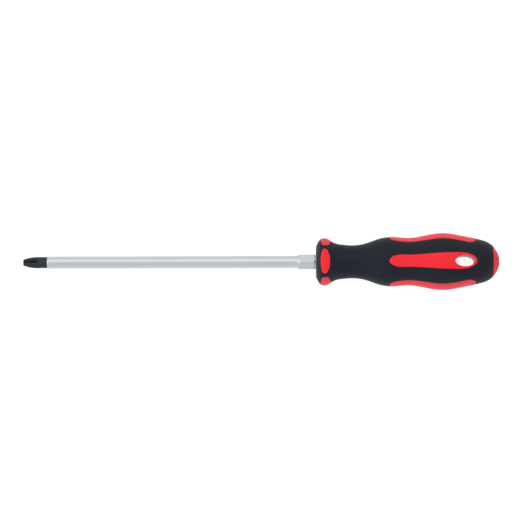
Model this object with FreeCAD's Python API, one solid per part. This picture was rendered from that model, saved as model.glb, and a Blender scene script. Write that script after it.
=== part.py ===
import FreeCAD, Part
import math
import os

# A cross-point screwdriver with a two-colour moulded handle, in millimetres.
# X runs along the blade from the tip (x = 0) to the butt of the handle.
# Z is the axis of the hang hole, and the tool lies on its -Z side.

# Blade and driver tip
SHANK_RADIUS = 4.0
TIP_ZONE_LENGTH = 16.3
TIP_ZONE_RADIUS = 3.82
TIP_STEP_LENGTH = 0.25
POINT_RADIUS = 1.75
WING_START = (0.35, 2.15)
WING_BEND = (4.6, 3.31)
WING_SHOULDER = 10.0
FLUTE_ROOT = 0.95
FLUTE_TAPER = 5.75
FLUTE_OPENING = 92.0
FLUTE_LENGTH = 7.2
FLUTE_CUTTER_RADIUS = 6.0
FLUTE_TURN = 22.0
TANG_RADIUS = 3.5
TANG_END = 286.0
TANG_CHAMFER = 1.0
TANG_WING_HALF_SPAN = 6.2
TANG_WING_THICKNESS = 3.0
TANG_WING_LENGTH = 15.0
TANG_WING_STARTS = {"Y": 248.0, "Z": 268.0}

# Hexagonal bolster, pressed onto the shank against the handle
BOLSTER_START = 187.8
BOLSTER_HEX_END = 199.4
BOLSTER_SPIGOT_END = 206.0
BOLSTER_ACROSS_FLATS = 9.5
BOLSTER_SPIGOT_RADIUS = 4.7
BOLSTER_END_RADIUS = 4.6
BOLSTER_CHAMFER_LENGTH = 0.8

# Handle outline seen along the hang hole: distance behind the front face, half height
HANDLE_START = 200.0
HANDLE_LENGTH = 125.4
SECTION_RATIO = 0.86
FRONT_FACE_RADIUS = 10.6
HANDLE_PROFILE = [
    (0.0, FRONT_FACE_RADIUS),
    (1.7, 13.9),
    (3.1, 15.5),
    (4.9, 16.05),
    (7.8, 15.6),
    (10.8, 13.8),
    (14.0, 12.4),
    (18.0, 11.7),
    (25.0, 11.26),
    (31.5, 11.95),
    (37.5, 13.8),
    (44.0, 15.95),
    (52.0, 16.85),
    (62.5, 16.1),
    (74.0, 17.65),
    (86.5, 19.35),
    (99.0, 17.65),
    (112.0, 14.95),
    (117.5, 13.05),
    (120.8, 10.65),
]

# Soft skin over the hard core, thinner on the collar in front
SKIN = 2.4
COLLAR_SKIN = 1.4
COLLAR_END = 209.0
CORE_START = 202.5
CORE_FRONT_RADIUS = 12.8
NOSE_START = HANDLE_START
NOSE_RADIUS = 5.6

# Red inlays
INLAY_RISE = 0.15
PANEL_START = 249.7
PANEL_END = 309.7
PANEL_FRONT_CENTRE = 258.7
PANEL_REAR_CENTRE = 297.8
PANEL_FRONT_HALF = 4.35
PANEL_WAIST_START = 262.0
PANEL_WAIST_END = 270.5
PANEL_WAIST_HALF = 4.1
PANEL_SWELL = 284.8
PANEL_REAR_HALF = 5.77
STRIP_START = 250.0
STRIP_END = 309.0
STRIP_END_HALF = 4.4
STRIP_GUIDES = [
    (255.6, 8.1),
    (260.5, 8.1),
    (268.5, 8.0),
    (278.5, 9.8),
    (290.5, 10.1),
    (298.8, 9.25),
    (302.8, 9.2),
]
FACE_PAD = ((202.95, 204.0, 7.35), (205.75, 8.55), (207.75, 7.35, 209.5))
SIDE_PAD = ((203.0, 203.6, 9.2), (206.0, 10.2), (208.9, 8.3, 210.2))

# End cap and its disc: distance behind the handle's front face, half height
CAP_BEND = (122.0, 9.15)
DISC_EDGE = (123.15, 7.4)
DISC_BEND = (124.6, 4.3)
DISC_START = 322.3
CAP_STEM_START = 313.0
CAP_STEM_RADIUS = 4.5
MARK_LENGTH = 7.0
MARK_WIDTH = 1.4
MARK_DEPTH = 0.35

# Hang hole, an ellipse right through the handle
HOLE_CENTRE = 301.4
HOLE_HALF_LENGTH = 6.7
HOLE_HALF_WIDTH = 3.8

REACH = 40.0
ORIGIN = FreeCAD.Vector(0, 0, 0)
X_AXIS = FreeCAD.Vector(1, 0, 0)
Z_AXIS = FreeCAD.Vector(0, 0, 1)


def point(x, y, z=0.0):
    return FreeCAD.Vector(x, y, z)


def line(start, end):
    return Part.LineSegment(start, end).toShape()


def arc(start, middle, end):
    return Part.Arc(start, middle, end).toShape()


def spline(points):
    """Smooth curve through the points."""
    curve = Part.BSplineCurve()
    curve.interpolate(points)
    return curve.toShape()


def flowing_edge(guides):
    """Smooth edge drawn along guide points, level at both ends when its end pairs are level."""
    curve = Part.BSplineCurve()
    curve.buildFromPoles(guides, False, 3)
    return curve.toShape()


def ellipse_arc(centre, half_x, half_y, start_turn, end_turn):
    """Arc of an ellipse in the XY plane, its ends given in quarter turns from +X."""
    quarter = math.pi / 2
    circle = Part.Circle(ORIGIN, Z_AXIS, 1.0)
    curve = Part.ArcOfCircle(circle, start_turn * quarter, end_turn * quarter).toShape()
    stretch = FreeCAD.Matrix()
    stretch.scale(half_x, half_y, 1.0)
    stretch.move(centre)
    return curve.transformGeometry(stretch)


def turned(edges):
    """Solid of revolution about the X axis from a closed outline that has a side on it."""
    outline = Part.Face(Part.Wire(edges))
    return outline.revolve(ORIGIN, X_AXIS, 360)


def polyline(corners):
    """Straight edges from corner to corner."""
    return [line(start, end) for start, end in zip(corners, corners[1:])]


def turned_points(corners):
    """Solid of revolution about the X axis from the corners of its half section."""
    return turned(polyline(corners + [corners[0]]))


def flattened(shape):
    """Make a round body oval, slimmer along Z than along Y."""
    squeeze = FreeCAD.Matrix()
    squeeze.scale(1.0, 1.0, SECTION_RATIO)
    return shape.transformGeometry(squeeze)


def prism(edges, turn):
    """Cutter that runs outward from the axis, turned about X from +Z towards -Y."""
    solid = Part.Face(Part.Wire(edges)).extrude(point(0, 0, REACH))
    return solid.rotate(ORIGIN, X_AXIS, turn)


def rod(start, end, radius):
    return Part.makeCylinder(radius, end - start, point(start, 0), X_AXIS)


# Steel parts

def flute_cutter():
    """V-shaped cutter that runs in along a tapered root and lifts out on a cutter's radius."""
    taper = math.radians(FLUTE_TAPER)
    slope = math.tan(math.radians(FLUTE_OPENING / 2))
    depth = 3 * SHANK_RADIUS
    root_end = FLUTE_ROOT + FLUTE_LENGTH * math.tan(taper)
    lead = SHANK_RADIUS
    root_lead = FLUTE_ROOT - lead * math.tan(taper)

    def section(x, root):
        corners = [
            point(x, 0, root),
            point(x, depth * slope, root + depth),
            point(x, -depth * slope, root + depth),
        ]
        return Part.makePolygon(corners + corners[:1])

    straight = Part.makeLoft([section(-lead, root_lead), section(FLUTE_LENGTH, root_end)], True)
    hub = root_end + FLUTE_CUTTER_RADIUS
    wheel_points = [
        point(FLUTE_LENGTH, 0, root_end),
        point(FLUTE_LENGTH, FLUTE_CUTTER_RADIUS * slope, hub),
        point(FLUTE_LENGTH, -FLUTE_CUTTER_RADIUS * slope, hub),
    ]
    wheel_face = Part.Face(Part.makePolygon(wheel_points + wheel_points[:1]))
    wheel = wheel_face.revolve(point(FLUTE_LENGTH, 0, hub), point(0, 1, 0), 360)
    return straight.fuse(wheel)


def blade():
    """Round bar with a cross point, and flattened wings on its tang that stop it turning."""
    shoulder = point(WING_SHOULDER, TIP_ZONE_RADIUS)
    wings = arc(point(*WING_START), point(*WING_BEND), shoulder)
    nose = [point(0, 0), point(0, POINT_RADIUS), point(*WING_START)]
    rest = [
        shoulder,
        point(TIP_ZONE_LENGTH, TIP_ZONE_RADIUS),
        point(TIP_ZONE_LENGTH + TIP_STEP_LENGTH, SHANK_RADIUS),
        point(BOLSTER_START, SHANK_RADIUS),
        point(BOLSTER_START, TANG_RADIUS),
        point(TANG_END - TANG_CHAMFER, TANG_RADIUS),
        point(TANG_END, TANG_RADIUS - TANG_CHAMFER),
        point(TANG_END, 0),
        point(0, 0),
    ]
    bar = turned(polyline(nose) + [wings] + polyline(rest))
    cutter = flute_cutter()
    for quarter in range(4):
        bar = bar.cut(cutter.rotated(ORIGIN, X_AXIS, 90.0 * quarter - FLUTE_TURN))
    for direction, start in TANG_WING_STARTS.items():
        wide = 2 * TANG_WING_HALF_SPAN
        corner = point(start, -wide / 2, -TANG_WING_THICKNESS / 2)
        wing = Part.makeBox(TANG_WING_LENGTH, wide, TANG_WING_THICKNESS, corner)
        if direction == "Z":
            wing.rotate(ORIGIN, X_AXIS, 90)
        bar = bar.fuse(wing)
    return bar.removeSplitter()


def hex_bolster():
    """Hexagonal collar, chamfered at both ends, with a round spigot inside the handle."""
    corner_radius = BOLSTER_ACROSS_FLATS / math.sqrt(3)
    corners = []
    for i in range(7):
        angle = math.radians(60 * i)
        corners.append(point(BOLSTER_START, corner_radius * math.sin(angle),
                             corner_radius * math.cos(angle)))
    length = BOLSTER_HEX_END - BOLSTER_START
    hexagon = Part.Face(Part.makePolygon(corners)).extrude(point(length, 0))
    envelope = turned_points([
        point(BOLSTER_START, 0),
        point(BOLSTER_START, BOLSTER_END_RADIUS),
        point(BOLSTER_START + BOLSTER_CHAMFER_LENGTH, corner_radius),
        point(BOLSTER_HEX_END - BOLSTER_CHAMFER_LENGTH, corner_radius),
        point(BOLSTER_HEX_END, BOLSTER_END_RADIUS),
        point(BOLSTER_HEX_END, 0),
    ])
    spigot = rod(BOLSTER_HEX_END, BOLSTER_SPIGOT_END, BOLSTER_SPIGOT_RADIUS)
    collar = hexagon.common(envelope).fuse(spigot)
    return collar.cut(rod(BOLSTER_START, BOLSTER_SPIGOT_END, TANG_RADIUS))


# Handle bodies

def station(place, rise=0.0):
    """Point of the handle's outline from its distance behind the front face and its radius."""
    return point(HANDLE_START + place[0], place[1] + rise)


def handle_body(rise=0.0):
    """The handle's outer form up to the end cap, with its skin raised by the given amount."""
    points = [station(place, rise) for place in HANDLE_PROFILE]
    side = spline(points)
    front = point(HANDLE_START, 0)
    rear = point(points[-1].x, 0)
    edges = [line(front, points[0]), side, line(points[-1], rear), line(rear, front)]
    return flattened(turned(edges))


def core_body():
    """The hard core without its bores: the outer form, less the thickness of the skin."""
    base = point(CORE_START, 0)
    points = [point(CORE_START, CORE_FRONT_RADIUS)]
    for place in HANDLE_PROFILE:
        x = HANDLE_START + place[0]
        if x > CORE_START + 1:
            points.append(station(place, -COLLAR_SKIN if x < COLLAR_END else -SKIN))
    rear = point(points[-1].x, 0)
    edges = [line(base, points[0]), spline(points), line(points[-1], rear), line(rear, base)]
    nose = rod(NOSE_START, CORE_START + 1, NOSE_RADIUS)
    return flattened(turned(edges)).fuse(nose)


def hang_hole():
    """Elliptical prism through the whole handle."""
    centre = point(HOLE_CENTRE, 0)
    edge = ellipse_arc(centre, HOLE_HALF_LENGTH, HOLE_HALF_WIDTH, 0, 4)
    face = Part.Face(Part.Wire([edge]))
    face.translate(point(0, 0, -REACH))
    return face.extrude(point(0, 0, 2 * REACH))


# Inlay outlines, drawn in the XY plane about the X axis

def mirrored(edges):
    """The same edges on the other side of the X axis."""
    return [edge.mirror(ORIGIN, point(0, 1, 0)) for edge in edges]


def panel_outline():
    """Long front and rear panel: elliptical ends, a waist, and a wider rear half."""
    front = point(PANEL_FRONT_CENTRE, 0)
    rear = point(PANEL_REAR_CENTRE, 0)
    front_end = ellipse_arc(front, front.x - PANEL_START, PANEL_FRONT_HALF, 1, 2)
    side = flowing_edge([
        point(front.x, PANEL_FRONT_HALF),
        point(PANEL_WAIST_START, PANEL_WAIST_HALF),
        point(PANEL_WAIST_END, PANEL_WAIST_HALF),
        point(PANEL_SWELL, PANEL_REAR_HALF),
        point(rear.x, PANEL_REAR_HALF),
    ])
    rear_end = ellipse_arc(rear, PANEL_END - rear.x, PANEL_REAR_HALF, 0, 1)
    upper = [front_end, side, rear_end]
    return Part.__sortEdges__(upper + mirrored(upper))


def strip_outline():
    """Side strip: nearly square ends with rounded corners, and sides that follow the grip."""
    front = point(STRIP_GUIDES[0][0], STRIP_END_HALF)
    rear = point(STRIP_GUIDES[-1][0], STRIP_END_HALF)
    front_half = STRIP_GUIDES[0][1] - STRIP_END_HALF
    rear_half = STRIP_GUIDES[-1][1] - STRIP_END_HALF
    front_corner = ellipse_arc(front, front.x - STRIP_START, front_half, 1, 2)
    rear_corner = ellipse_arc(rear, STRIP_END - rear.x, rear_half, 0, 1)
    side = flowing_edge([point(*guide) for guide in STRIP_GUIDES])
    upper = [front_corner, side, rear_corner]
    ends = []
    for x in (STRIP_START, STRIP_END):
        ends.append(line(point(x, -STRIP_END_HALF), point(x, STRIP_END_HALF)))
    return Part.__sortEdges__(upper + mirrored(upper) + ends)


def pad_outline(front, crest, rear):
    """Collar pad: arcs in front and behind, and arched ends between their corners."""
    (front_bulge, front_x, front_y), (crest_x, crest_y), (rear_x, rear_y, rear_bulge) = front, crest, rear
    return [
        arc(point(front_x, -front_y), point(front_bulge, 0), point(front_x, front_y)),
        arc(point(front_x, front_y), point(crest_x, crest_y), point(rear_x, rear_y)),
        arc(point(rear_x, rear_y), point(rear_bulge, 0), point(rear_x, -rear_y)),
        arc(point(rear_x, -rear_y), point(crest_x, -crest_y), point(front_x, -front_y)),
    ]


# Turn of each inlay about the X axis, and its outline

INLAYS = {
    "front_panel": (0, panel_outline()),
    "rear_panel": (180, panel_outline()),
    "left_grip_strip": (-90, strip_outline()),
    "right_grip_strip": (90, strip_outline()),
    "front_collar_pad": (0, pad_outline(*FACE_PAD)),
    "rear_collar_pad": (180, pad_outline(*FACE_PAD)),
    "left_collar_pad": (-90, pad_outline(*SIDE_PAD)),
    "right_collar_pad": (90, pad_outline(*SIDE_PAD)),
}


# End cap and disc

def cross_mark():
    """Shallow cross in the disc, the sign for a cross-point driver."""
    bars = []
    floor = HANDLE_START + HANDLE_LENGTH - MARK_DEPTH
    for across, up in ((MARK_LENGTH, MARK_WIDTH), (MARK_WIDTH, MARK_LENGTH)):
        bars.append(Part.makeBox(REACH, across, up, point(floor, -across / 2, -up / 2)))
    return bars[0].fuse(bars[1])


def end_disc():
    """Shallow domed disc let into the end cap."""
    seat = point(DISC_START, 0)
    corner = point(DISC_START, DISC_EDGE[1])
    rim = station(DISC_EDGE)
    butt = station((HANDLE_LENGTH, 0.0))
    dome = arc(rim, station(DISC_BEND), butt)
    edges = [line(seat, corner), line(corner, rim), dome, line(butt, seat)]
    return flattened(turned(edges)).cut(cross_mark())


def end_cap():
    """Rounded ring that closes the butt, with a stem that presses into the core."""
    edge = station(HANDLE_PROFILE[-1])
    base = point(edge.x, 0)
    rim = station(DISC_EDGE)
    corner = point(DISC_START, rim.y)
    seat = point(DISC_START, 0)
    edges = [
        line(base, edge),
        arc(edge, station(CAP_BEND), rim),
        line(rim, corner),
        line(corner, seat),
        line(seat, base),
    ]
    return flattened(turned(edges)).fuse(rod(CAP_STEM_START, base.x, CAP_STEM_RADIUS))


def build():
    steel = blade()
    bolster = hex_bolster()
    core = core_body()
    hole = hang_hole()
    parts = {"blade": steel, "hex_bolster": bolster}
    stem = rod(CAP_STEM_START, station(HANDLE_PROFILE[-1]).x, CAP_STEM_RADIUS)
    spigot = rod(NOSE_START, BOLSTER_SPIGOT_END, BOLSTER_SPIGOT_RADIUS)
    parts["handle_core"] = core.cut(steel).cut(spigot).cut(stem).cut(hole)
    raised_skin = handle_body(INLAY_RISE).cut(core)
    skin = handle_body().cut(core)
    for name, (turn, outline) in INLAYS.items():
        cutter = prism(outline, turn)
        parts[name] = raised_skin.common(cutter).cut(hole)
        skin = skin.cut(cutter)
    parts["soft_grip"] = skin
    parts["end_cap"] = end_cap()
    parts["end_disc"] = end_disc()
    return parts


os.makedirs("parts", exist_ok=True)
for node, shape in build().items():
    shape.exportStep("parts/" + node + ".step")
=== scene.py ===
import math

import bmesh
import bpy
import numpy as np
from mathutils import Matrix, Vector
from mathutils.geometry import delaunay_2d_cdt


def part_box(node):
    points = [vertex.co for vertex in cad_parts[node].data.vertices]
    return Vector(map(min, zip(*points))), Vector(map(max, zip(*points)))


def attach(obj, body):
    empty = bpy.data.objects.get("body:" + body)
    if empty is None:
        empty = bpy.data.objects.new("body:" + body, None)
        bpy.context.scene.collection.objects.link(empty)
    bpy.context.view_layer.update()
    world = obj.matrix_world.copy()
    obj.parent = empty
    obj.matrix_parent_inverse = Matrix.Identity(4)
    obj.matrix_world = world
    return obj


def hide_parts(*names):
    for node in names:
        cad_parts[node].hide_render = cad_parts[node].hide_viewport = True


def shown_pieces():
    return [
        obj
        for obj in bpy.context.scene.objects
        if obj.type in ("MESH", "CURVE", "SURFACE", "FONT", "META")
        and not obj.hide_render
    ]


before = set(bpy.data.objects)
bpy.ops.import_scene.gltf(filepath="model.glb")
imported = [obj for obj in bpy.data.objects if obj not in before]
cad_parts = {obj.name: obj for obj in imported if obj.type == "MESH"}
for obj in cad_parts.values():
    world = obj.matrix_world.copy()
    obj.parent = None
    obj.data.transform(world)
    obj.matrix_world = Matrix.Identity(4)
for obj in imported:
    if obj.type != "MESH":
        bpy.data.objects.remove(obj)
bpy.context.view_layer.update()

# A cross-point screwdriver that lies along X, with its point at the origin. Sizes are in
# millimetres, and each mesh is scaled once, when it is made.
MM = 0.001
TINY = 1e-6


def low(node, axis):
    """Lowest place of a CAD node along an axis."""
    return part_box(node)[0][axis] / MM


def high(node, axis):
    """Highest place of a CAD node along an axis."""
    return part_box(node)[1][axis] / MM


# Handle: its outline as distance behind the front face and half height, and its oval section
HANDLE_START = low("soft_grip", 0)
BUTT = high("end_disc", 0)
SECTION_RATIO = 0.86
HANDLE_PROFILE = [
    (0.0, 10.6), (1.7, 13.9), (3.1, 15.5), (4.9, 16.05), (7.8, 15.6), (10.8, 13.8),
    (14.0, 12.4), (18.0, 11.7), (25.0, 11.26), (31.5, 11.95), (37.5, 13.8), (44.0, 15.95),
    (52.0, 16.85), (62.5, 16.1), (74.0, 17.65), (86.5, 19.35), (99.0, 17.65), (112.0, 14.95),
    (117.5, 13.05), (120.8, 10.65),
]
NOSE_RADIUS = 5.65

# The front corner's softening: its half width, and the distances along the line at which it has
# come in, starts to fade and is gone
CORNER_SOFTENING = 0.6
SOFTENED_FROM, SOFTENED_TO, SOFTENING_GONE = 1.5, 10.0, 20.0

# Step of the line's points, and the distance along it that is past the front corner
LINE_STEP = 0.05
CORNER_PASSED = 6.0

# The skin is laid out flat as distance along and distance around, at one nominal radius.
# A front or rear cell spans FACE_STEPS columns each side of its middle; side cells have the rest.
UNROLL_RADIUS = 16.0
QUADRANT = UNROLL_RADIUS * math.pi / 2
QUADRANT_STEPS = 32
FACE_STEPS = 14
MESH_STEP = 0.85
COLLAR_CELLS = (201.6, 212.5)
COLLAR_CREST = 205.9
GRIP_CELLS = (248.6, 312.4)
GRIP_DEPTH = 1.5
PANEL_DEPTH = 2.0
PANEL_RISE = 0.12

# Cross sections of moulded edges: sideways offset from the outline, and depth
WINDOW_EDGE = [(0.0, 0.26), (0.03, 0.12), (0.10, 0.035), (0.24, 0.0)]
INLAY_EDGE = [(-0.03, 0.10), (-0.06, -0.02), (-0.14, -0.10), (-0.28, -PANEL_RISE)]
HOLE_EDGE = [(0.0, 0.34), (0.03, 0.14), (0.10, 0.0), (0.22, -0.09), (0.38, -PANEL_RISE)]
DISC_RIM_EDGE = [(0.0, 0.22), (-0.03, 0.10), (-0.10, 0.03), (-0.25, 0.0)]
CROSS_EDGE = [(0.0, 0.12), (0.03, 0.05), (0.08, 0.015), (0.16, 0.0)]

# Rear edge of the skin: distance in front of its end, and depth
REAR_EDGE = [(0.26, 0.0), (0.10, 0.035), (0.03, 0.12), (0.0, 0.26)]

# Hang hole
HOLE_CENTRE = 301.4
HOLE_HALF_LENGTH = 6.72
HOLE_HALF_WIDTH = 3.82

# Butt: points on the cap's arc and the disc's arc, as distance behind the front face and radius
CAP_EDGE = (120.8, 10.65)
CAP_BEND = (122.0, 9.15)
DISC_EDGE = (123.15, 7.4)
DISC_BEND = (124.6, 4.3)
DISC_START = low("end_disc", 0)
CAP_STEM_RADIUS = 4.5
CAP_STEM_CHAMFER = 0.5
CROSS_LENGTH = 7.0
CROSS_WIDTH = 1.5
CROSS_CORNER = 0.35
CROSS_DEPTH = 0.32
FIT_GAP = 0.02

# Point and shank
SHANK_RADIUS = 4.0
TIP_ZONE_END = 16.3
TIP_ZONE_RADIUS = 3.82
POINT_RADIUS = 1.75
WING_START = (0.35, 2.15)
WING_BEND = (4.6, 3.31)
WING_SHOULDER = 10.0
FLUTE_ROOT = 0.95
FLUTE_SLOPE = math.tan(math.radians(5.75))
FLUTE_HALF_ANGLE = math.radians(46.0)
FLUTE_LENGTH = 7.2
FLUTE_CUTTER_RADIUS = 6.0
FLUTE_TURN = math.radians(22.0)
NARROWEST_WING = math.radians(5.0)

# The flutes have run out by the first of these places, and the bar is plain round at the second
FLUTES_END = 12.2
ROUND_STATION = 15.0

# Tang and bolster
TANG_RADIUS = 3.5
TANG_END = high("blade", 0)
TANG_WING_STARTS = (248.0, 268.0)
TANG_WING_LENGTH = 15.0
TANG_WING_HALF_SPAN = 6.2
TANG_WING_HALF_THICKNESS = 1.5
BOLSTER_START = low("hex_bolster", 0)
BOLSTER_HEX_END = 199.4
BOLSTER_SPIGOT_END = high("hex_bolster", 0)
BOLSTER_SPIGOT_RADIUS = 4.45
BOLSTER_FLAT = high("hex_bolster", 1)
BOLSTER_CHAMFER = 0.8
BOLSTER_END_RADIUS = 4.6

# Where noise is darkest and lightest, or smoothest and roughest
NOISE_LOW, NOISE_HIGH = 0.3, 0.7

# Red plastics: darker and lighter colour, smoothest, roughest, grain in mm, specular level
REDS = {
    "red_panel": ((0.83, 0.011, 0.022), (0.89, 0.017, 0.030), 0.42, 0.50, 0.003, 0.25),
    # Side strips and side pads: red set darker than the panels' red, painted shade on the handle's
    # sides; their rougher grain and higher specular level are the real finish
    "red_strip": ((0.70, 0.014, 0.026), (0.77, 0.020, 0.036), 0.50, 0.60, 0.010, 0.5),
    "red_cap": ((0.78, 0.010, 0.018), (0.84, 0.014, 0.024), 0.38, 0.44, 0.003, 0.15),
    "red_disc": ((0.44, 0.022, 0.032), (0.50, 0.030, 0.040), 0.40, 0.48, 0.004, 0.15),
}


# ---------- small mesh tools ----------

class Builder:
    """Collects points in millimetres and faces, and makes one tidy mesh object of them."""

    def __init__(self):
        self.points = []
        self.faces = []
        self.marks = []

    def add(self, points, faces, mark=0):
        """More points and faces; mark is the faces' place in the list of materials."""
        start = len(self.points)
        self.points.extend(points)
        self.faces.extend([tuple(start + i for i in face) for face in faces])
        self.marks.extend([mark] * len(faces))

    def rows(self, rows, closed=True, flip=False, mark=0):
        """Quads between neighbouring rows of points, each row closed on itself or open."""
        count = len(rows[0])
        faces = []
        for r in range(len(rows) - 1):
            for i in range(count if closed else count - 1):
                j = (i + 1) % count
                quad = (r * count + i, (r + 1) * count + i, (r + 1) * count + j, r * count + j)
                faces.append(quad[::-1] if flip else quad)
        self.add([p for row in rows for p in row], faces, mark)

    def fan(self, row, centre, flip=False, mark=0):
        """Triangles from a closed row of points to one centre point."""
        count = len(row)
        faces = []
        for i in range(count):
            face = (i, (i + 1) % count, count)
            faces.append(face[::-1] if flip else face)
        self.add(list(row) + [centre], faces, mark)

    def make(self, name, materials, angle=35.0, join=True):
        """The finished object, smooth but for edges sharper than the angle in degrees."""
        mesh = bpy.data.meshes.new(name)
        mesh.from_pydata([tuple(c * MM for c in p) for p in self.points], [], self.faces)
        mesh.polygons.foreach_set("material_index", self.marks)
        for item in materials:
            mesh.materials.append(item)
        bm = bmesh.new()
        bm.from_mesh(mesh)
        bmesh.ops.remove_doubles(bm, verts=bm.verts, dist=0.004 * MM)
        bmesh.ops.dissolve_degenerate(bm, edges=bm.edges, dist=0.002 * MM)
        if join:
            triangles = [f for f in bm.faces if len(f.verts) == 3]
            bmesh.ops.join_triangles(bm, faces=triangles, angle_face_threshold=0.5,
                                     angle_shape_threshold=0.7)
        bmesh.ops.recalc_face_normals(bm, faces=bm.faces)
        for face in bm.faces:
            face.smooth = True
        for edge in bm.edges:
            if len(edge.link_faces) == 2:
                edge.smooth = edge.calc_face_angle() < math.radians(angle)
        bm.to_mesh(mesh)
        bm.free()
        piece = bpy.data.objects.new(name, mesh)
        bpy.context.scene.collection.objects.link(piece)
        return piece


def shifted(loop, distance):
    """A closed anticlockwise loop moved outwards along its own normals."""
    loop = np.asarray(loop)
    along = np.roll(loop, -1, axis=0) - np.roll(loop, 1, axis=0)
    normal = np.column_stack([along[:, 1], -along[:, 0]])
    normal /= np.linalg.norm(normal, axis=1)[:, None]
    return loop + normal * distance


def inside(points, loop):
    """Which of the points lie within the closed loop."""
    x, y = points[:, 0][:, None], points[:, 1][:, None]
    x1, y1 = loop[:, 0], loop[:, 1]
    x2, y2 = np.roll(x1, -1), np.roll(y1, -1)
    spans = (y1 > y) != (y2 > y)
    rise = np.where(y2 == y1, TINY ** 2, y2 - y1)
    crossing = x1 + (y - y1) * (x2 - x1) / rise
    return (np.sum(spans & (x < crossing), axis=1) % 2) == 1


def filled(outer, holes, step):
    """Flat points and faces that fill the outer loop, less the holes, on a regular grid."""
    outer = np.asarray(outer)
    holes = [np.asarray(hole) for hole in holes]
    lowest, highest = outer.min(axis=0), outer.max(axis=0)
    counts = np.maximum(np.round((highest - lowest) / step).astype(int), 2)
    axes = [np.linspace(lowest[i], highest[i], counts[i] + 1)[1:-1] for i in (0, 1)]
    grid = np.array(np.meshgrid(*axes)).reshape(2, -1).T
    keep = inside(grid, outer)
    for hole in holes:
        keep &= ~inside(grid, hole)
    grid = grid[keep]
    edges = np.vstack([outer] + holes)
    if len(grid):
        gaps = np.linalg.norm(grid[:, None, :] - edges[None, :, :], axis=2).min(axis=1)
        grid = grid[gaps > 0.55 * step]
    points = np.vstack([edges, grid])
    rims = []
    start = 0
    for loop in [outer] + holes:
        count = len(loop)
        rims.extend([(start + i, start + (i + 1) % count) for i in range(count)])
        start += count
    result = delaunay_2d_cdt([Vector(p) for p in points], rims, [], 1, 1e-7)
    flat = np.array([tuple(v) for v in result[0]])
    faces = result[2]
    centres = np.array([flat[list(face)].mean(axis=0) for face in faces])
    good = inside(centres, outer)
    for hole in holes:
        good &= ~inside(centres, hole)
    return flat, [tuple(face) for face, ok in zip(faces, good) if ok]


# ---------- handle surface ----------

def smooth_through(points, samples):
    """Natural cubic spline through the points, by chord length, as a dense row of points."""
    points = np.asarray(points, float)
    place = np.concatenate([[0], np.cumsum(np.linalg.norm(np.diff(points, axis=0), axis=1))])
    gap = np.diff(place)
    count = len(points)
    matrix = np.eye(count)
    right = np.zeros((count, 2))
    for i in range(1, count - 1):
        matrix[i, i - 1:i + 2] = (gap[i - 1], 2 * (gap[i - 1] + gap[i]), gap[i])
        right[i] = 6 * ((points[i + 1] - points[i]) / gap[i]
                        - (points[i] - points[i - 1]) / gap[i - 1])
    bend = np.linalg.solve(matrix, right)
    s = np.linspace(0, place[-1], samples)
    k = np.clip(np.searchsorted(place, s, side="right") - 1, 0, count - 2)
    h, a, b = gap[k][:, None], (place[k + 1] - s)[:, None], (s - place[k])[:, None]
    return (bend[k] * a ** 3 / (6 * h) + bend[k + 1] * b ** 3 / (6 * h)
            + (points[k] / h - bend[k] * h / 6) * a + (points[k + 1] / h - bend[k + 1] * h / 6) * b)


def even_line(points, step):
    """The same line with evenly spaced points, and each point's distance along it."""
    lengths = np.concatenate([[0], np.cumsum(np.linalg.norm(np.diff(points, axis=0), axis=1))])
    s = np.linspace(0, lengths[-1], int(lengths[-1] / step) + 1)
    return s, np.column_stack([np.interp(s, lengths, points[:, i]) for i in (0, 1)])


def handle_line():
    """The handle's half section from the nose's edge, across the front face and to the cap."""
    face = np.array([(0.0, NOSE_RADIUS), HANDLE_PROFILE[0]])
    line = np.vstack([face[:1], smooth_through(HANDLE_PROFILE, 3000)])
    s, line = even_line(line, LINE_STEP)
    width = int(CORNER_SOFTENING / LINE_STEP)
    padded = np.vstack([np.repeat(line[:1], width, 0), line, np.repeat(line[-1:], width, 0)])
    kernel = np.ones(2 * width + 1) / (2 * width + 1)
    soft = np.column_stack([np.convolve(padded[:, i], kernel, "valid") for i in (0, 1)])
    fade = np.clip((SOFTENING_GONE - s) / (SOFTENING_GONE - SOFTENED_TO), 0, 1)
    blend = fade[:, None] * np.clip(s / SOFTENED_FROM, 0, 1)[:, None]
    line = soft * blend + line * (1 - blend)
    return s, line, np.gradient(line, s, axis=0)


HANDLE_S, HANDLE_LINE, HANDLE_SLOPE = handle_line()
HANDLE_TOTAL = HANDLE_S[-1]
BEHIND_CORNER = slice(round(CORNER_PASSED / LINE_STEP), None)


def along(x):
    """Distance along the handle's line at a place x behind the front corner."""
    line_x = HANDLE_LINE[BEHIND_CORNER, 0]
    return np.interp(np.asarray(x) - HANDLE_START, line_x, HANDLE_S[BEHIND_CORNER])


def radius_at(x):
    """Half height of the handle at a place x behind the front corner."""
    line_x, line_r = HANDLE_LINE[BEHIND_CORNER].T
    return np.interp(np.asarray(x) - HANDLE_START, line_x, line_r)


def handle_point(flat, depth, axis=None):
    """Points at a depth below the skin, from distances along and around it.

    The depth runs square to the skin, or along the axis where one is given.
    """
    flat = np.atleast_2d(flat)
    s, turn = flat[:, 0], flat[:, 1] / UNROLL_RADIUS
    x, r = (np.interp(s, HANDLE_S, HANDLE_LINE[:, i]) for i in (0, 1))
    dx, dr = (np.interp(s, HANDLE_S, HANDLE_SLOPE[:, i]) for i in (0, 1))
    point = np.column_stack([HANDLE_START + x, r * np.sin(turn), SECTION_RATIO * r * np.cos(turn)])
    normal = np.column_stack([-SECTION_RATIO * dr, SECTION_RATIO * dx * np.sin(turn),
                              dx * np.cos(turn)])
    normal /= np.linalg.norm(normal, axis=1)[:, None]
    if axis is None or depth < 0:
        return point - normal * depth
    return point - np.asarray(axis) * depth


# ---------- outlines, as (x, half height), anticlockwise ----------

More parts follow.
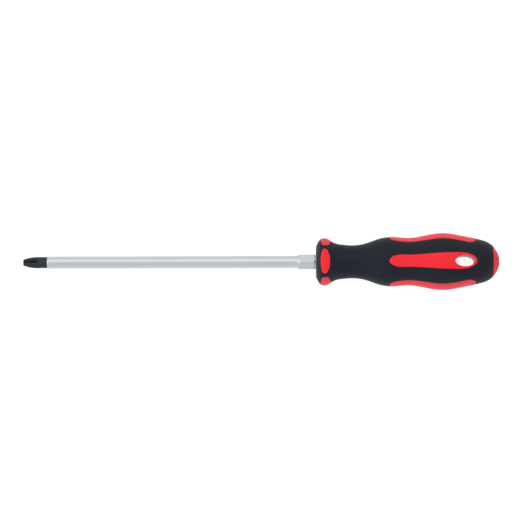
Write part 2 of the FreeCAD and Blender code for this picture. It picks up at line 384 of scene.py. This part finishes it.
def quarter(centre, half_x, half_y, start):
    """A quarter of an ellipse that starts a number of quarter turns from the rear."""
    turns = np.linspace(start, start + 1, 40) * math.pi / 2
    return [(centre[0] + half_x * math.cos(a), centre[1] + half_y * math.sin(a)) for a in turns]


def guided(guides, count):
    """Clamped cubic B-spline drawn along guide points."""
    guides = np.asarray(guides, float)
    n = len(guides)
    knots = np.concatenate([np.zeros(4), np.arange(1, n - 3), np.full(4, n - 3)])
    result = []
    for u in np.linspace(0, n - 3 - 1e-9, count):
        k = int(np.searchsorted(knots, u, side="right") - 1)
        d = [guides[j + k - 3].copy() for j in range(4)]
        for r in range(1, 4):
            for j in range(3, r - 1, -1):
                left, right = knots[j + k - 3], knots[j + 1 + k - r]
                share = (u - left) / (right - left)
                d[j] = (1 - share) * d[j - 1] + share * d[j]
        result.append(tuple(d[3]))
    return result


def both_sides(upper):
    """Closed anticlockwise outline from its upper edge, which runs from rear to front."""
    lower = [(x, -y) for x, y in reversed(upper)]
    points = upper + lower
    kept = [points[0]]
    for p in points[1:]:
        if math.dist(p, kept[-1]) > 0.02:
            kept.append(p)
    if math.dist(kept[0], kept[-1]) < 0.02:
        kept.pop()
    return evenly(kept, 0.45)


def evenly(loop, step):
    """The same closed loop with evenly spaced points."""
    ring = np.vstack([loop, loop[:1]])
    lengths = np.concatenate([[0], np.cumsum(np.linalg.norm(np.diff(ring, axis=0), axis=1))])
    s = np.linspace(0, lengths[-1], int(round(lengths[-1] / step)) + 1)[:-1]
    return np.column_stack([np.interp(s, lengths, ring[:, i]) for i in (0, 1)])


def panel_outline():
    """Panel with elliptical ends and a waist in front."""
    start, end = low("front_panel", 0), high("front_panel", 0)
    front, rear = 258.7, 297.8
    front_half, waist, rear_half = 4.35, 4.1, 5.77
    guides = [(front, front_half), (262.0, waist), (270.5, waist), (284.8, rear_half),
              (rear, rear_half)]
    upper = quarter((rear, 0), end - rear, rear_half, 0)
    upper += guided(guides, 60)[::-1]
    upper += quarter((front, 0), front - start, front_half, 1)
    return both_sides(upper)


def strip_outline():
    """Side strip that follows the grip's swell, with rounded corners."""
    start, end = low("left_grip_strip", 0), high("left_grip_strip", 0)
    corner = 4.4
    guides = [(255.6, 8.1), (260.5, 8.1), (268.5, 8.0), (278.5, 9.8), (290.5, 10.1),
              (298.8, 9.25), (302.8, 9.2)]
    front, rear = guides[0], guides[-1]
    upper = quarter((rear[0], corner), end - rear[0], rear[1] - corner, 0)
    upper += guided(guides, 70)[::-1]
    upper += quarter((front[0], corner), front[0] - start, front[1] - corner, 1)
    return both_sides(upper)


def arc_through(a, b, c, count):
    """Points of the circular arc through three points."""
    (ax, ay), (bx, by), (cx, cy) = a, b, c
    d = 2 * (ax * (by - cy) + bx * (cy - ay) + cx * (ay - by))
    squares = [ax * ax + ay * ay, bx * bx + by * by, cx * cx + cy * cy]
    x = (squares[0] * (by - cy) + squares[1] * (cy - ay) + squares[2] * (ay - by)) / d
    y = (squares[0] * (cx - bx) + squares[1] * (ax - cx) + squares[2] * (bx - ax)) / d
    r = math.dist((x, y), a)
    first, middle, last = (math.atan2(p[1] - y, p[0] - x) for p in (a, b, c))
    sweep = (last - first) % (2 * math.pi)
    if (middle - first) % (2 * math.pi) > sweep:
        sweep -= 2 * math.pi
    turns = [first + sweep * i / (count - 1) for i in range(count)]
    return [(x + r * math.cos(t), y + r * math.sin(t)) for t in turns]


def pad_outline(front, crest, rear):
    """Collar pad: arcs in front and behind, and arched ends between their corners."""
    (front_bulge, front_x, front_y), (rear_x, rear_y, rear_bulge) = front, rear
    loop = arc_through((rear_x, -rear_y), (rear_bulge, 0), (rear_x, rear_y), 40)
    loop += arc_through((rear_x, rear_y), crest, (front_x, front_y), 24)[1:]
    loop += arc_through((front_x, front_y), (front_bulge, 0), (front_x, -front_y), 40)[1:]
    loop += arc_through((front_x, -front_y), (crest[0], -crest[1]), (rear_x, -rear_y), 24)[1:-1]
    return evenly(np.array(loop), 0.4)


def hole_outline():
    """The hang hole's ellipse."""
    turns = np.linspace(0, 2 * math.pi, 97)[:-1]
    return np.column_stack([HOLE_CENTRE + HOLE_HALF_LENGTH * np.cos(turns),
                            HOLE_HALF_WIDTH * np.sin(turns)])


def unrolled(outline, centre_turn, ratio):
    """An outline seen from one side, laid out on the unrolled skin."""
    s = along(outline[:, 0])
    turn = np.arcsin(np.clip(outline[:, 1] / (ratio * radius_at(outline[:, 0])), -1, 1))
    return np.column_stack([s, UNROLL_RADIUS * turn + centre_turn * QUADRANT])


# Inlays: name, quarter turn from the front, outline, how far the section is squeezed across it
PANEL, STRIP = panel_outline(), strip_outline()
FACE_PAD = pad_outline((202.95, 204.0, 7.35), (205.75, 8.55), (207.75, 7.35, 209.5))
SIDE_PAD = pad_outline((203.0, 203.6, 9.2), (206.0, 10.2), (208.9, 8.3, 210.2))
INLAYS = {
    "front_panel": (0, PANEL, 1.0),
    "left_grip_strip": (1, STRIP, SECTION_RATIO),
    "rear_panel": (2, PANEL, 1.0),
    "right_grip_strip": (3, STRIP, SECTION_RATIO),
    "front_collar_pad": (0, FACE_PAD, 1.0),
    "left_collar_pad": (1, SIDE_PAD, SECTION_RATIO),
    "rear_collar_pad": (2, FACE_PAD, 1.0),
    "right_collar_pad": (3, SIDE_PAD, SECTION_RATIO),
}
WINDOWS = {name: unrolled(outline, turn, ratio) for name, (turn, outline, ratio) in INLAYS.items()}


# ---------- handle pieces ----------

def ringed(builder, loop, edge, deepest, surface=handle_point, flip=False, **extra):
    """The rounded edge that runs up a wall from its foot, and returns the loop on the surface."""
    rows = [surface(shifted(loop, edge[0][0]), deepest, **extra)]
    for offset, depth in edge:
        rows.append(surface(shifted(loop, offset), depth, **extra))
    builder.rows([list(map(tuple, row)) for row in rows], flip=flip)
    return shifted(loop, edge[-1][0])


def skin_patch(builder, outer, holes, depth, flip=False):
    """The part of the skin between an outline and the holes in it."""
    flat, faces = filled(outer, holes, MESH_STEP)
    points = [tuple(p) for p in handle_point(flat, depth)]
    builder.add(points, [face[::-1] for face in faces] if flip else faces)


def cell_border(u0, u1, quadrant, steps):
    """Anticlockwise border of the stretch of unrolled skin round one inlay, wider at the sides."""
    half = FACE_STEPS if quadrant % 2 == 0 else QUADRANT_STEPS - FACE_STEPS
    middle = quadrant * QUADRANT
    left = middle - QUADRANT * half / QUADRANT_STEPS
    right = middle + QUADRANT * half / QUADRANT_STEPS
    us = np.linspace(u0, u1, steps + 1)
    vs = np.linspace(left, right, 2 * half + 1)
    border = [(u, left) for u in us[:-1]] + [(u1, v) for v in vs[:-1]]
    border += [(u, right) for u in us[:0:-1]] + [(u0, v) for v in vs[:0:-1]]
    return np.array(border)


def skin_ring(u, depth):
    """One ring of points round the skin, at a distance u along it."""
    vs = (np.arange(4 * QUADRANT_STEPS) / QUADRANT_STEPS - 0.5) * QUADRANT
    flat = np.column_stack([np.full(len(vs), u), vs])
    return [tuple(p) for p in handle_point(flat, depth)]


def band(builder, us, depth, flip=False):
    """Plain stretch of the skin as a closed tube of quads."""
    builder.rows([skin_ring(u, depth) for u in us], flip=flip)


def spread(start, end, step):
    """Places from start to end, about a step apart."""
    return np.linspace(start, end, max(int(round((end - start) / step)), 1) + 1)


def soft_grip(material):
    """The black skin: plain stretches, and two stretches of cells with a window in each."""
    builder = Builder()
    collar = [float(along(x)) for x in COLLAR_CELLS]
    grip = [float(along(x)) for x in GRIP_CELLS]
    end = HANDLE_TOTAL
    rear = end - REAR_EDGE[0][0]
    for depth, flip in ((0.0, False), (GRIP_DEPTH, True)):
        band(builder, spread(0.0, collar[0], 0.5), depth, flip)
        band(builder, spread(collar[1], grip[0], MESH_STEP), depth, flip)
        band(builder, spread(grip[1], rear, MESH_STEP), depth, flip)
    builder.rows([skin_ring(0.0, GRIP_DEPTH), skin_ring(0.0, 0.0)])
    rounded = [skin_ring(end - back, depth) for back, depth in REAR_EDGE]
    builder.rows(rounded + [skin_ring(end, GRIP_DEPTH), skin_ring(rear, GRIP_DEPTH)])
    for name, (quadrant, _, _) in INLAYS.items():
        u0, u1 = collar if "collar" in name else grip
        border = cell_border(u0, u1, quadrant, int(round((u1 - u0) / MESH_STEP)))
        window = WINDOWS[name]
        surface_loop = ringed(builder, window, WINDOW_EDGE, GRIP_DEPTH)
        skin_patch(builder, border, [surface_loop], 0.0)
        skin_patch(builder, border, [window], GRIP_DEPTH, flip=True)
    piece = builder.make("soft_grip_skin", [material])
    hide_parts("soft_grip")
    return piece


def hang_hole(name):
    """The hang hole laid out on a panel's skin, and the way that its wall faces out."""
    quadrant, _, ratio = INLAYS[name]
    return unrolled(hole_outline(), quadrant, ratio), (0, 0, 1 if quadrant == 0 else -1)


def inlay(name, material):
    """A red inlay with a rounded rim, a little proud of the grip; a panel has the hang hole."""
    builder = Builder()
    window = WINDOWS[name]
    depth = PANEL_DEPTH if "panel" in name else GRIP_DEPTH
    foot = shifted(window, INLAY_EDGE[0][0])
    top = ringed(builder, window, INLAY_EDGE, depth)
    holes = [hang_hole(name)] if "panel" in name else []
    rims = [ringed(builder, hole, HOLE_EDGE, depth, axis=axis) for hole, axis in holes]
    skin_patch(builder, top, rims, -PANEL_RISE)
    flat, faces = filled(foot, [hole for hole, _ in holes], MESH_STEP)
    points = handle_point(flat, depth)
    for hole, axis in holes:
        wall_foot = handle_point(hole, depth, axis=axis)
        gaps = np.linalg.norm(flat[:, None, :] - hole[None, :, :], axis=2)
        on_rim = gaps.min(axis=1) < 10 * TINY
        points[on_rim] = wall_foot[gaps.argmin(axis=1)[on_rim]]
    builder.add([tuple(p) for p in points], [face[::-1] for face in faces])
    piece = builder.make(name + "_moulding", [material])
    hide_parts(name)
    return piece


def lathe(builder, profile, ratio=1.0, columns=128):
    """Closed turned body from a half section that starts and ends on the axis."""
    turns = np.linspace(0, 2 * math.pi, columns + 1)[:-1]
    rows = []
    for x, r in profile:
        rows.append([(x, r * math.sin(t), ratio * r * math.cos(t)) for t in turns])
    builder.rows(rows[1:-1])
    builder.fan(rows[1], (profile[0][0], 0, 0))
    builder.fan(rows[-2], (profile[-1][0], 0, 0), flip=True)


def at(place):
    """A point of the butt's outline, measured from the origin."""
    return (HANDLE_START + place[0], place[1])


def end_cap(material):
    """Rounded ring that closes the butt, with the stem that sits in the core."""
    crown = arc_through(at(CAP_EDGE), at(CAP_BEND), at(DISC_EDGE), 24)
    (x0, r0), (x1, r1) = crown[0], crown[-1]
    stem_end, stem = low("end_cap", 0), CAP_STEM_RADIUS
    profile = [(stem_end, 0), (stem_end, stem - CAP_STEM_CHAMFER)]
    profile += [(stem_end + CAP_STEM_CHAMFER, stem), (x0, stem), (x0 + FIT_GAP, 6.0)]
    profile += [(x0 + FIT_GAP, r0 - 0.24), (x0 + 0.06, r0 - 0.12), (x0 + 0.14, r0 - 0.09)]
    profile += crown[3:-3]
    profile += [(x1 - 0.05, r1 + 0.12), (x1 - 0.10, r1 + 0.05), (x1 - 0.25, r1 + FIT_GAP)]
    profile += [(DISC_START, r1 + FIT_GAP), (DISC_START, r1 - 1.0), (DISC_START, 0)]
    builder = Builder()
    lathe(builder, profile, SECTION_RATIO)
    piece = builder.make("end_cap_moulding", [material])
    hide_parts("end_cap")
    return piece


def dome(flat, depth):
    """Points of the disc's domed face from their place in its plane."""
    flat = np.atleast_2d(flat)
    edge, bend = at(DISC_EDGE), at(DISC_BEND)
    line = np.array(arc_through(edge, bend, (BUTT, 0.0), 60))[::-1]
    r = np.linalg.norm(flat, axis=1)
    x = np.interp(r, line[:, 1], line[:, 0])
    return np.column_stack([x - depth, flat[:, 0], SECTION_RATIO * flat[:, 1]])


def cross_outline(length, width, corner):
    """Equal-armed cross with rounded corners, anticlockwise."""
    reach, half = length / 2, width / 2
    arcs = [(reach - corner, half - corner, 0.0, math.pi / 2),
            (half + corner, half + corner, -math.pi / 2, -math.pi / 2),
            (half - corner, reach - corner, 0.0, math.pi / 2)]
    loop = []
    for turn in range(4):
        c, s = math.cos(turn * math.pi / 2), math.sin(turn * math.pi / 2)
        for centre_x, centre_y, first, sweep in arcs:
            for i in range(7):
                t = first + sweep * i / 6
                x, y = centre_x + corner * math.cos(t), centre_y + corner * math.sin(t)
                loop.append((x * c - y * s, x * s + y * c))
    return evenly(np.array(loop), 0.12)


def end_disc(material):
    """Domed disc with a shallow plain cross, the sign for this kind of point."""
    builder = Builder()
    turns = np.linspace(0, 2 * math.pi, 129)[:-1]
    r = DISC_EDGE[1] - FIT_GAP
    rim = np.column_stack([r * np.cos(turns), r * np.sin(turns)])
    thickness = HANDLE_START + DISC_EDGE[0] - DISC_START - FIT_GAP
    top = ringed(builder, rim, DISC_RIM_EDGE, thickness, surface=dome)
    cross = cross_outline(CROSS_LENGTH, CROSS_WIDTH, CROSS_CORNER)
    cross_top = ringed(builder, cross, CROSS_EDGE, CROSS_DEPTH, surface=dome)
    flat, faces = filled(top, [cross_top], 0.45)
    builder.add([tuple(p) for p in dome(flat, 0.0)], faces)
    flat, faces = filled(cross, [], 0.3)
    builder.add([tuple(p) for p in dome(flat, CROSS_DEPTH)], faces)
    base = [tuple(p) for p in dome(rim, thickness)]
    builder.fan(base, (DISC_START + FIT_GAP, 0, 0), flip=True)
    piece = builder.make("end_disc_moulding", [material])
    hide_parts("end_disc")
    return piece


# ---------- steel pieces ----------

WING_LINE = np.array([(0.0, POINT_RADIUS)] + arc_through(
    WING_START, WING_BEND, (WING_SHOULDER, TIP_ZONE_RADIUS), 80))


def tip_radius(x):
    """Radius of the round form that the wings are ground to."""
    return float(np.interp(x, WING_LINE[:, 0], WING_LINE[:, 1]))


def flute_root(x):
    """How far the bottom of the flutes lies from the axis."""
    if x <= FLUTE_LENGTH:
        return FLUTE_ROOT + x * FLUTE_SLOPE
    run = min(x - FLUTE_LENGTH, FLUTE_CUTTER_RADIUS)
    lift = FLUTE_CUTTER_RADIUS - math.sqrt(FLUTE_CUTTER_RADIUS ** 2 - run ** 2)
    return FLUTE_ROOT + FLUTE_LENGTH * FLUTE_SLOPE + lift


def tip_section(x, per_side=6):
    """One cross section of the point, with columns that follow the edges of the wings."""
    radius, root = tip_radius(x), flute_root(x)
    cot = 1 / math.tan(FLUTE_HALF_ANGLE)
    reach = root / (radius * math.hypot(1, cot))
    edge = math.acos(min(reach, 1.0)) - math.atan(cot)
    edge = max(edge, NARROWEST_WING)
    turns = [edge * i / per_side for i in range(per_side)]
    turns += [edge + (math.pi / 4 - edge) * i / per_side for i in range(per_side)]
    turns = [-t for t in turns[:0:-1]] + turns
    turns = [-math.pi / 4] + turns
    row = []
    for k in range(4):
        for t in turns:
            wall = math.cos(t) - cot * abs(math.sin(t))
            r = min(radius, root / wall) if wall > TINY else radius
            a = FLUTE_TURN + k * math.pi / 2 + t
            row.append((x, r * math.sin(a), r * math.cos(a)))
    return row


def round_section(x, r, like):
    """A round section whose columns line up with those of the given section."""
    return [(x, r * p[1] / math.hypot(p[1], p[2]), r * p[2] / math.hypot(p[1], p[2])) for p in like]


def tang_section(x, like, across):
    """The tang with a pair of flattened wings, across Y (0) or Z (1)."""
    row = []
    for _, y, z in round_section(x, 1.0, like):
        wide, thin = (abs(y), abs(z)) if across == 0 else (abs(z), abs(y))
        span = TANG_WING_HALF_SPAN / max(wide, TINY)
        thickness = TANG_WING_HALF_THICKNESS / max(thin, TINY)
        r = max(TANG_RADIUS, min(span, thickness))
        row.append((x, r * y, r * z))
    return row


def blade(steel, oxide):
    """The whole blade: cross point, blackened tip zone, shank, and winged tang."""
    builder = Builder()
    stations = [0.0, 0.12, WING_START[0]]
    stations += list(np.linspace(WING_START[0] + 0.35, FLUTE_LENGTH, 18))
    stations += list(np.linspace(FLUTE_LENGTH + 0.2, FLUTES_END, 26))
    rows = [tip_section(x) for x in stations]
    like = tip_section(ROUND_STATION)
    rows += [round_section(x, TIP_ZONE_RADIUS, like) for x in (12.8, 14.0, 15.2, TIP_ZONE_END)]
    builder.rows(rows, mark=1)
    builder.fan(rows[0], (0.0, 0, 0), mark=1)
    shank = [rows[-1]]
    for run, r in ((0.1, TIP_ZONE_RADIUS + 0.02), (0.2, SHANK_RADIUS - 0.05), (0.32, SHANK_RADIUS)):
        shank.append(round_section(TIP_ZONE_END + run, r, like))
    shank += [round_section(x, SHANK_RADIUS, like) for x in np.linspace(18.0, BOLSTER_START, 60)]
    plain = (BOLSTER_START + 0.01, TANG_WING_STARTS[0] - 0.1)
    shank += [round_section(x, TANG_RADIUS, like) for x in plain]
    for across, start in enumerate(TANG_WING_STARTS):
        end = start + TANG_WING_LENGTH
        shank += [tang_section(x, like, across) for x in spread(start, end, 5.0)]
        shank += [round_section(x, TANG_RADIUS, like) for x in (end + 0.01, end + 1)]
    shank += [round_section(TANG_END - 1, TANG_RADIUS, like), round_section(TANG_END, 2.9, like)]
    builder.rows(shank)
    builder.fan(shank[-1], (TANG_END, 0, 0), flip=True)
    piece = builder.make("steel_blade", [steel, oxide], angle=28.0, join=False)
    bevel = piece.modifiers.new("ground_edges", "BEVEL")
    bevel.width = 0.045 * MM
    bevel.segments = 2
    bevel.limit_method = "ANGLE"
    bevel.angle_limit = math.radians(32)
    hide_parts("blade")
    return piece


def hex_bolster(steel):
    """Hexagonal collar: softened flats and edges, cut by a cone at each end."""
    per_side = 16
    turns = [math.pi / 3 * (k + i / per_side) for k in range(6) for i in range(per_side)]
    corner = BOLSTER_FLAT / math.cos(math.pi / 6)
    corner_cut, softness, inset, past_cone = 0.06, 0.05, 0.04, 1.2
    builder = Builder()

    def section(x, limit):
        row = []
        for t in turns:
            off = (t % (math.pi / 3)) - math.pi / 6
            flat = min(BOLSTER_FLAT / math.cos(off), corner - corner_cut)
            gap = max(softness - abs(flat - limit), 0) / softness
            r = min(flat, limit) - gap * gap * softness / 4
            row.append((x, r * math.sin(t), r * math.cos(t)))
        return row

    def ring(x, r):
        return [(x, r * math.sin(t), r * math.cos(t)) for t in turns]

    front, rear, spigot = BOLSTER_START, BOLSTER_HEX_END, BOLSTER_SPIGOT_END
    slope = (corner - BOLSTER_END_RADIUS) / BOLSTER_CHAMFER
    bore = TANG_RADIUS + 0.05
    rows = [ring(front, bore), ring(front, BOLSTER_END_RADIUS - 0.12)]
    steps = np.linspace(0, BOLSTER_CHAMFER * 1.15, 22)
    rows += [section(front + d + inset, BOLSTER_END_RADIUS + slope * d) for d in steps]
    for x in np.linspace(front + past_cone, rear - past_cone, 12):
        rows.append(section(x, corner + 1))
    rows += [section(rear - d - inset, BOLSTER_END_RADIUS + slope * d) for d in steps[::-1]]
    rows += [ring(rear, BOLSTER_END_RADIUS - 0.05), ring(rear, BOLSTER_SPIGOT_RADIUS)]
    rows += [ring(spigot, BOLSTER_SPIGOT_RADIUS), ring(spigot, bore), rows[0]]
    builder.rows(rows)
    piece = builder.make("bolster_collar", [steel], angle=24.0, join=False)
    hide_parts("hex_bolster")
    return piece


# ---------- finishes ----------

class Finish:
    """A node material under construction: one Principled shader and its textures."""

    def __init__(self, name, stretch=(1.0, 1.0, 1.0)):
        self.material = bpy.data.materials.new(name)
        self.material.use_nodes = True
        self.nodes = self.material.node_tree.nodes
        self.links = self.material.node_tree.links
        self.shader = self.nodes["Principled BSDF"]
        place = self.nodes.new("ShaderNodeTexCoord")
        mapping = self.nodes.new("ShaderNodeMapping")
        mapping.inputs["Scale"].default_value = stretch
        self.links.new(place.outputs["Object"], mapping.inputs["Vector"])
        self.vector = mapping.outputs["Vector"]

    def constants(self, **values):
        """Sets sockets of the shader, named with _ for each space."""
        for name, value in values.items():
            self.shader.inputs[name.replace("_", " ")].default_value = value

    def noise(self, scale, detail=3.0, rough=0.55):
        """Adds a noise pattern in object space and returns its value."""
        node = self.nodes.new("ShaderNodeTexNoise")
        node.inputs["Scale"].default_value = scale
        node.inputs["Detail"].default_value = detail
        node.inputs["Roughness"].default_value = rough
        self.links.new(self.vector, node.inputs["Vector"])
        return node.outputs["Fac"]

    def colour(self, source, dark, light):
        """Shades the base colour from dark to light by the source."""
        ramp = self.nodes.new("ShaderNodeValToRGB")
        ramp.color_ramp.elements[0].position = NOISE_LOW
        ramp.color_ramp.elements[0].color = (*dark, 1.0)
        ramp.color_ramp.elements[1].position = NOISE_HIGH
        ramp.color_ramp.elements[1].color = (*light, 1.0)
        self.links.new(source, ramp.inputs["Fac"])
        self.links.new(ramp.outputs["Color"], self.shader.inputs["Base Color"])

    def roughness(self, source, lowest, highest):
        """Varies the roughness by the source."""
        span = self.nodes.new("ShaderNodeMapRange")
        span.inputs["From Min"].default_value = NOISE_LOW
        span.inputs["From Max"].default_value = NOISE_HIGH
        span.inputs["To Min"].default_value = lowest
        span.inputs["To Max"].default_value = highest
        self.links.new(source, span.inputs["Value"])
        self.links.new(span.outputs["Result"], self.shader.inputs["Roughness"])

    def bump(self, source, height_mm):
        """Roughens the surface by a height in millimetres."""
        node = self.nodes.new("ShaderNodeBump")
        node.inputs["Strength"].default_value = 1.0
        node.inputs["Distance"].default_value = height_mm * MM
        self.links.new(source, node.inputs["Height"])
        self.links.new(node.outputs["Normal"], self.shader.inputs["Normal"])


def satin_steel(name):
    """Chromed steel with fine polishing lines that run round the bar."""
    finish = Finish(name, (7.0, 1.0, 1.0))
    finish.constants(Metallic=1.0, Specular_Tint=(0.42, 0.44, 0.46, 1.0))
    lines = finish.noise(650.0, 4.0, 0.6)
    finish.colour(lines, (0.54, 0.575, 0.60), (0.59, 0.625, 0.65))
    finish.roughness(lines, 0.30, 0.38)
    finish.bump(lines, 0.004)
    return finish.material


def black_oxide():
    """Blackened steel of the point."""
    finish = Finish("black_oxide", (2.0, 1.0, 1.0))
    finish.constants(Metallic=0.85)
    grain = finish.noise(2600.0)
    finish.colour(grain, (0.027, 0.033, 0.041), (0.043, 0.050, 0.060))
    finish.roughness(grain, 0.36, 0.48)
    finish.bump(grain, 0.006)
    return finish.material


def black_rubber():
    """Soft black skin with a fine matt grain."""
    finish = Finish("black_rubber")
    grain = finish.noise(3200.0, 2.0)
    finish.constants(Specular_IOR_Level=0.22)
    finish.colour(grain, (0.0035, 0.0065, 0.0125), (0.0055, 0.0095, 0.0165))
    finish.roughness(grain, 0.50, 0.62)
    finish.bump(grain, 0.014)
    return finish.material


def red_plastic(name):
    """One of the moulded red plastics, with a fine grain; the side strips' darker red is painted
    shade.
    """
    dark, light, smoothest, roughest, grain_mm, specular = REDS[name]
    finish = Finish(name)
    finish.constants(Specular_IOR_Level=specular)
    grain = finish.noise(2800.0, 2.0)
    finish.colour(grain, dark, light)
    finish.roughness(grain, smoothest, roughest)
    finish.bump(grain, grain_mm)
    return finish.material


def core_plastic():
    """Light grey core, seen in the wall of the hang hole."""
    finish = Finish("core_plastic")
    finish.constants(Specular_IOR_Level=0.4)
    grain = finish.noise(1800.0, 2.0)
    finish.colour(grain, (0.56, 0.58, 0.60), (0.62, 0.64, 0.66))
    finish.roughness(grain, 0.38, 0.48)
    finish.bump(grain, 0.006)
    return finish.material


def floor_paper():
    """Grey paper that also gives off light, so that it stays white round the tool."""
    finish = Finish("floor_paper")
    grain = finish.noise(400.0, 3.0)
    finish.colour(grain, (0.29, 0.29, 0.29), (0.31, 0.31, 0.31))
    finish.roughness(grain, 0.8, 0.9)
    finish.bump(grain, 0.01)
    finish.constants(Emission_Color=(1.0, 1.0, 1.0, 1.0), Emission_Strength=0.82)
    return finish.material


# ---------- studio ----------

def floor():
    """Pale floor under the tool as it lies, just below the point and the collar."""
    gap = 0.05
    tip = (WING_SHOULDER, -TIP_ZONE_RADIUS - gap)
    collar = (COLLAR_CREST, low("rear_collar_pad", 2) - gap)
    slope = (collar[1] - tip[1]) / (collar[0] - tip[0])
    builder = Builder()
    xs, ys = np.linspace(-2600, 3000, 9), np.linspace(-2800, 2800, 9)
    rows = [[(x, y, tip[1] + slope * (x - tip[0])) for y in ys] for x in xs]
    builder.rows(rows, closed=False)
    plane = builder.make("studio_floor", [floor_paper()])


def soft_light(name, place, target, size, power):
    """A rectangular lamp that faces the target."""
    data = bpy.data.lights.new(name, "AREA")
    data.shape = "RECTANGLE"
    data.size, data.size_y = size
    data.energy = power
    lamp = bpy.data.objects.new(name, data)
    bpy.context.scene.collection.objects.link(lamp)
    lamp.location = place
    lamp.rotation_euler = (Vector(target) - Vector(place)).to_track_quat("-Z", "Y").to_euler()


def studio():
    """Plain colour transform, a pale sky and two soft lamps."""
    scene = bpy.context.scene
    scene.view_settings.view_transform = "Standard"
    world = bpy.data.worlds.new("studio_sky")
    scene.world = world
    world.use_nodes = True
    sky = world.node_tree.nodes["Background"]
    sky.inputs["Color"].default_value = (0.97, 0.985, 1.0, 1.0)
    sky.inputs["Strength"].default_value = 0.90
    middle = (0.16, 0.0, 0.0)
    soft_light("key_softbox", (0.10, 0.92, 1.31), middle, (1.9, 1.5), 4.2)
    soft_light("end_softbox", (-1.30, 0.0, 0.40), middle, (1.0, 0.7), 9.0)


def camera():
    """Long lens, seen nearly square to the front, rolled a little."""
    distance, elevation, roll = 3.0, math.radians(87.2), math.radians(0.15)
    frame_width, target = 0.3519, Vector((0.1600, 0.0031, 0.0))
    data = bpy.data.cameras.new("view_camera")
    data.lens = data.sensor_width * distance / frame_width
    data.clip_end = 50.0
    back = Vector((0.0, -math.cos(elevation), math.sin(elevation)))
    right = Vector((1.0, 0.0, 0.0))
    up = back.cross(right)
    right, up = (right * math.cos(roll) - up * math.sin(roll),
                 up * math.cos(roll) + right * math.sin(roll))
    view = bpy.data.objects.new("view_camera", data)
    bpy.context.scene.collection.objects.link(view)
    view.location = target + back * distance
    rotation = view.matrix_world.to_3x3()
    rotation.col[0], rotation.col[1], rotation.col[2] = right, up, back
    view.rotation_euler = rotation.to_euler()
    bpy.context.scene.camera = view


def tool():
    """Every piece of the screwdriver, each with its finish."""
    reds = {name: red_plastic(name) for name in REDS}
    for name, (quadrant, _, _) in INLAYS.items():
        # Side faces take the darker red, painted shade; front and rear faces take the panel red
        kind = "red_panel" if quadrant % 2 == 0 else "red_strip"
        inlay(name, reds[kind])
    soft_grip(black_rubber())
    end_cap(reds["red_cap"])
    end_disc(reds["red_disc"])
    blade(satin_steel("shank_steel"), black_oxide())
    hex_bolster(satin_steel("bolster_steel"))
    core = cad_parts["handle_core"]
    core.data.materials.clear()
    core.data.materials.append(core_plastic())


tool()
for piece in list(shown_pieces()):
    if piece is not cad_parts["handle_core"]:
        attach(piece, "root")
floor()
studio()
camera()
